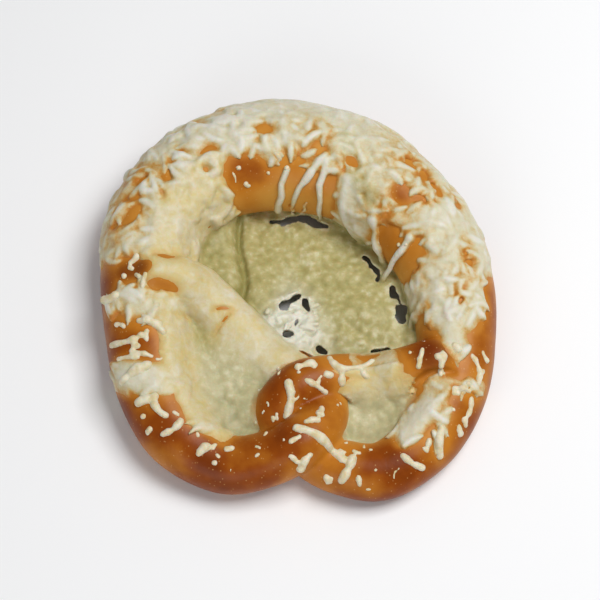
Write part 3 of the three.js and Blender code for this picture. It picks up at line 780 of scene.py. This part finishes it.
foam = add(melted, "ShaderNodeMath", {0: pores, 1: -0.5, 2: cloudy}, operation="MULTIPLY_ADD").outputs[0]
# The web's colour takes the painted shade of its hollows and pleat and the painted light of its crests.
bubbles_and_painted_shade = add(melted, "ShaderNodeMath", {0: crest, 1: 0.8, 2: foam}, operation="MULTIPLY_ADD").outputs[0]
curd = add(
    melted,
    "ShaderNodeValToRGB",
    {"Fac": bubbles_and_painted_shade},
    stops=[(0.25, "#9A9156"), (0.6, "#B6AC74"), (0.9, "#D2CCA6")],
).outputs["Color"]
whitened = add(melted, "ShaderNodeMapRange", {"Value": thread, "To Min": 0.45}).outputs[0]
paled = add(melted, "ShaderNodeMath", {0: dry, 1: whitened}, operation="MULTIPLY").outputs[0]
dry_curd = add(
    melted, "ShaderNodeMix", {0: paled, 6: curd, 7: linear("#DEDCCB")}, data_type="RGBA"
).outputs[2]
tint = add(melted, "ShaderNodeMix", {0: webbed, 6: creamy, 7: dry_curd}, data_type="RGBA").outputs[2]
rough = add(melted, "ShaderNodeMath", {0: pores, 1: 0.6, 2: fibre}, operation="MULTIPLY_ADD").outputs[0]
dimpled = add(melted, "ShaderNodeBump", {"Strength": 0.5, "Distance": 0.0009, "Height": rough}).outputs[0]
shine = add(melted, "ShaderNodeMapRange", {"Value": webbed, "To Min": 0.42, "To Max": 0.3}).outputs[0]
melted_skin = add(
    melted,
    "ShaderNodeBsdfPrincipled",
    {
        "Base Color": tint,
        "Roughness": shine,
        "IOR": 1.45,
        "Specular IOR Level": 0.35,
        "Subsurface Weight": 0.2,
        "Subsurface Scale": 0.0015,
        "Normal": dimpled,
    },
)
add(melted, "ShaderNodeOutputMaterial", {"Surface": melted_skin.outputs[0]})
melt.data.materials.append(melted)
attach(melt, "root")
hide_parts("cheese_blanket", "cheese_web_centre", "cheese_web_left", "cheese_web_right")

# Loose shreds. Grated cheese that fell on the bare crust of the lobes, the twist, the right arm and the
# belly. It softened in the oven and set there as separate sticks and crumbs.
SHREDS = [  # x and y of one end, x and y of the other, half width
    (-3.5, -40, -4, -51, 1.5), (3, -39, 10, -42, 1.2), (3, -55.5, 7, -54.5, 1.4), (8.5, -49, 8.5, -52, 1),
    (-0.5, -58, 16, -67, 1.8), (-2.5, -63, 0.5, -61.5, 1), (19.5, -66.5, 15.5, -74, 1.7),
    (4.5, -67, 1, -71, 1.5), (-2.5, -68, -0.5, -69.5, 1.2), (10, -72.5, 10.5, -74, 1.2),
    (21.5, -73.5, 22, -76, 1), (0, -33.5, 5, -31.5, 1.4), (11.5, -28.5, 16, -33.5, 1.5),
    (16, -33.5, 16, -38.5, 1.6),
    (10.5, -36, 12, -36, 1.3), (18, -33, 27, -29, 1), (23.5, -33.5, 25.5, -35.5, 1.2),
    (45, -27.5, 43.5, -34, 1.4), (50.5, -31, 53, -30.5, 1.3), (53, -30.5, 51.5, -36.5, 1.1),
    (37.5, -66, 44.5, -69.5, 1.3), (47, -60.5, 46, -64, 1.1), (51.5, -56, 51, -65, 1.6),
    (62.5, -44.5, 61, -50.5, 1.1), (58, -54.5, 58.5, -56.5, 1.3), (59.5, -51.5, 60.5, -53.5, 1),
    (64.5, -30, 66, -34, 1.1), (67.5, -33.5, 65.5, -38.5, 1.2), (61.5, -39.5, 63.5, -41, 1),
    (67.5, -26.5, 69, -29, 1.1), (56.5, -41.5, 62, -42, 1.2), (57, -26, 58, -27, 1.6),
    (-71.5, -6.5, -67, -6.5, 1.6), (-66.5, -16.5, -63.5, -18, 1), (-57.5, -22, -57, -22, 1.2),
    (-58.5, -26, -58, -26, 1.1), (-68.5, -23, -60, -23.5, 1.6), (-65.5, -29.5, -58, -30.5, 1),
    (-64, -38.5, -58.5, -35, 2), (-58.5, -35, -54, -33, 2), (-57.5, -46.5, -51.5, -45, 1.7),
    (-51.5, -48, -47.5, -52, 1.4), (-56, -51.5, -55.5, -51.5, 1.1), (-53.5, -56.5, -53, -56, 1.4),
    (-48.5, -58.5, -42, -54, 1.4), (-35.5, -65.5, -32.5, -62.5, 1.7), (-30, -68.5, -29.5, -68.5, 1.1),
    (-58, -16.5, -49, -20.5, 1.1), (-56.5, -14.5, -50, -17.5, 0.9), (-55, -20.5, -55, -24, 0.9),
    (-58.5, -28.5, -53, -30, 1), (-62, 6, -59.5, 8, 1.2), (-56, 0, -57, -4, 1.1), (-62, 4, -61, 3.5, 0.9),
    (-59.5, 1, -58.5, 0, 0.9), (-64.5, 1.5, -64, 1, 1), (-25.5, -63.5, -23.5, -63, 1.2),
    (-22.6, 43.9, -22, 44, 1), (-19.6, 39.5, -18.8, 39.3, 1), (-11.3, 42.9, -11, 42.5, 0.7),
    (-4.6, 43.6, -4.2, 43.8, 0.9), (-24.5, 42.3, -23.4, 39.7, 0.5), (37.2, 15.5, 37.5, 15.3, 0.9),
    (39.7, 14, 40, 13.9, 0.8), (-8.7, 48.4, -7, 47, 0.9),
]
SHRED_BOW = (-0.12, 0.12)  # how far a shred bends, as a share of its length
SHRED_KNOBS = (0.6, 1.2)  # how unevenly thick it is
SHRED_KEPT = 0.92  # the part of its width that stands after melting
SHRED_SUNK = 0.15  # how deep it sank, as a share of its half width
SHRED_FILLET = 1.1
SHRED_BED = 0.65  # depth under the skin to which its foot spreads
SHRED_ROOT = 0.6
CRUMBS = 60  # the smallest bits, strewn over the front half
CRUMB_X = (-72, 72)
CRUMB_Y = (-78, -20)
CRUMB_LENGTH = (0.2, 2.2)
CRUMB_WIDTH = (0.35, 0.75)
CRUMB_LOWEST = 13  # height under which none stayed
CRUMB_LEVEL = 0.6  # they stay where the skin's normal points up at least this much
CRUMB_FILM = 0.1  # and where there is less film than this
MOTTLE = 2.5  # size of the paler and darker marks on a shred
under = np.minimum(dough, cheese)
crown = upper_skin(under)
slope_x, slope_y = np.gradient(crown, CELL)
lying = under + SHRED_BED


def skin_over(x, y):
    """Points of the pretzel's upper skin over places in plan, and its upward normals there."""
    i = np.clip(((x - low[0]) / CELL).round().astype(int), 0, shape[0] - 1)
    j = np.clip(((y - low[1]) / CELL).round().astype(int), 0, shape[1] - 1)
    normal = np.stack([-slope_x[i, j], -slope_y[i, j], np.ones(len(i))], 1)
    return np.stack([x, y, crown[i, j]], 1), normal / np.linalg.norm(normal, axis=1)[:, None]


draw = np.random.default_rng(5)
sticks = list(SHREDS)
while len(sticks) < len(SHREDS) + CRUMBS:
    x0, y0 = draw.uniform(*CRUMB_X), draw.uniform(*CRUMB_Y)
    heading = draw.uniform(0, math.tau)
    length, width = draw.uniform(*CRUMB_LENGTH), draw.uniform(*CRUMB_WIDTH)
    point, normal = skin_over(np.array([x0]), np.array([y0]))
    bare = value_at(spread_over, point[0]) < CRUMB_FILM
    if bare and normal[0, 2] > CRUMB_LEVEL and point[0, 2] > CRUMB_LOWEST:
        sticks.append((x0, y0, x0 + length * math.cos(heading), y0 + length * math.sin(heading), width))
for x0, y0, x1, y1, width in sticks:
    length = math.hypot(x1 - x0, y1 - y0)
    run = np.linspace(0, 1, int(2.5 * length) + 3)
    bow = draw.uniform(*SHRED_BOW) * np.sin(np.pi * run)
    spine, normal = skin_over(x0 + (x1 - x0) * run - (y1 - y0) * bow, y0 + (y1 - y0) * run + (x1 - x0) * bow)
    knobs = np.interp(run, np.linspace(0, 1, 5), draw.uniform(*SHRED_KNOBS, 5))
    block, body = strand(spine - SHRED_SUNK * width * normal, SHRED_KEPT * width * knobs)
    lying[block] = blend(lying[block], body, SHRED_FILLET)
shreds = mesh_of("cheese_shreds", np.maximum(lying, -(under + SHRED_ROOT)))
grated = new_material("grated_cheese")  # pale cream, barely melted
place = add(grated, "ShaderNodeTexCoord").outputs["Object"]
tone = add(
    grated, "ShaderNodeTexNoise", {"Vector": place, "Scale": per_mm(MOTTLE), "Detail": 3.0}
).outputs["Fac"]
pale = add(
    grated, "ShaderNodeValToRGB", {"Fac": tone}, stops=[(0.3, "#D2C294"), (0.6, "#E0D8BE")]
).outputs["Color"]
soft = add(grated, "ShaderNodeBump", {"Strength": 0.3, "Distance": 0.0005, "Height": tone}).outputs[0]
grated_skin = add(
    grated,
    "ShaderNodeBsdfPrincipled",
    {
        "Base Color": pale,
        "Roughness": 0.45,
        "IOR": 1.45,
        "Specular IOR Level": 0.3,
        "Subsurface Weight": 0.2,
        "Subsurface Scale": 0.001,
        "Normal": soft,
    },
)
add(grated, "ShaderNodeOutputMaterial", {"Surface": grated_skin.outputs[0]})
shreds.data.materials.append(grated)
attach(shreds, "root")
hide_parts("pretzel")

# Studio. A pale paper floor, a broad soft light high on the right, a weak low one in front, and the camera
# that looks down over the twist.
AIM = Vector((0.7, -1.1, 12)) * MM
LOOK_DOWN = math.radians(64)
DISTANCE = 700 * MM
LENS = 112
SENSOR = 36
FLOOR_SIZE = 6  # metres
ROOM_LIGHT = 0.25
bpy.ops.mesh.primitive_plane_add(size=FLOOR_SIZE)
floor = bpy.context.object
floor.name = "floor"
paper = new_material("white_paper")  # matt and almost white
sheet = add(paper, "ShaderNodeBsdfPrincipled", {"Base Color": linear("#F4F4F4"), "Roughness": 0.9})
add(paper, "ShaderNodeOutputMaterial", {"Surface": sheet.outputs[0]})
floor.data.materials.append(paper)


def soft_light(name, place, size, power, colour):
    """A square area light that faces the pretzel."""
    light = bpy.data.lights.new(name, "AREA")
    light.size = size
    light.energy = power
    light.color = linear(colour)[:3]
    lamp = bpy.data.objects.new(name, light)
    lamp.location = place
    lamp.rotation_euler = (AIM - Vector(place)).to_track_quat("-Z", "Y").to_euler()
    bpy.context.scene.collection.objects.link(lamp)


soft_light("overhead", place=(0.4, 0.1, 0.92), size=0.5, power=8.3, colour="#FFFFFF")
soft_light("front", place=(-0.35, -0.9, 0.45), size=0.6, power=3, colour="#FFFFFF")
world = bpy.data.worlds.new("room")
world.use_nodes = True
world.node_tree.nodes["Background"].inputs["Color"].default_value = linear("#F4F6FA")
world.node_tree.nodes["Background"].inputs["Strength"].default_value = ROOM_LIGHT
bpy.context.scene.world = world
bpy.context.scene.view_settings.view_transform = "Standard"

camera = bpy.data.objects.new("camera", bpy.data.cameras.new("camera"))
camera.data.lens = LENS
camera.data.sensor_width = SENSOR
camera.location = AIM + DISTANCE * Vector((0, -math.cos(LOOK_DOWN), math.sin(LOOK_DOWN)))
camera.rotation_euler = (AIM - camera.location).to_track_quat("-Z", "Y").to_euler()
bpy.context.scene.collection.objects.link(camera)
bpy.context.scene.camera = camera
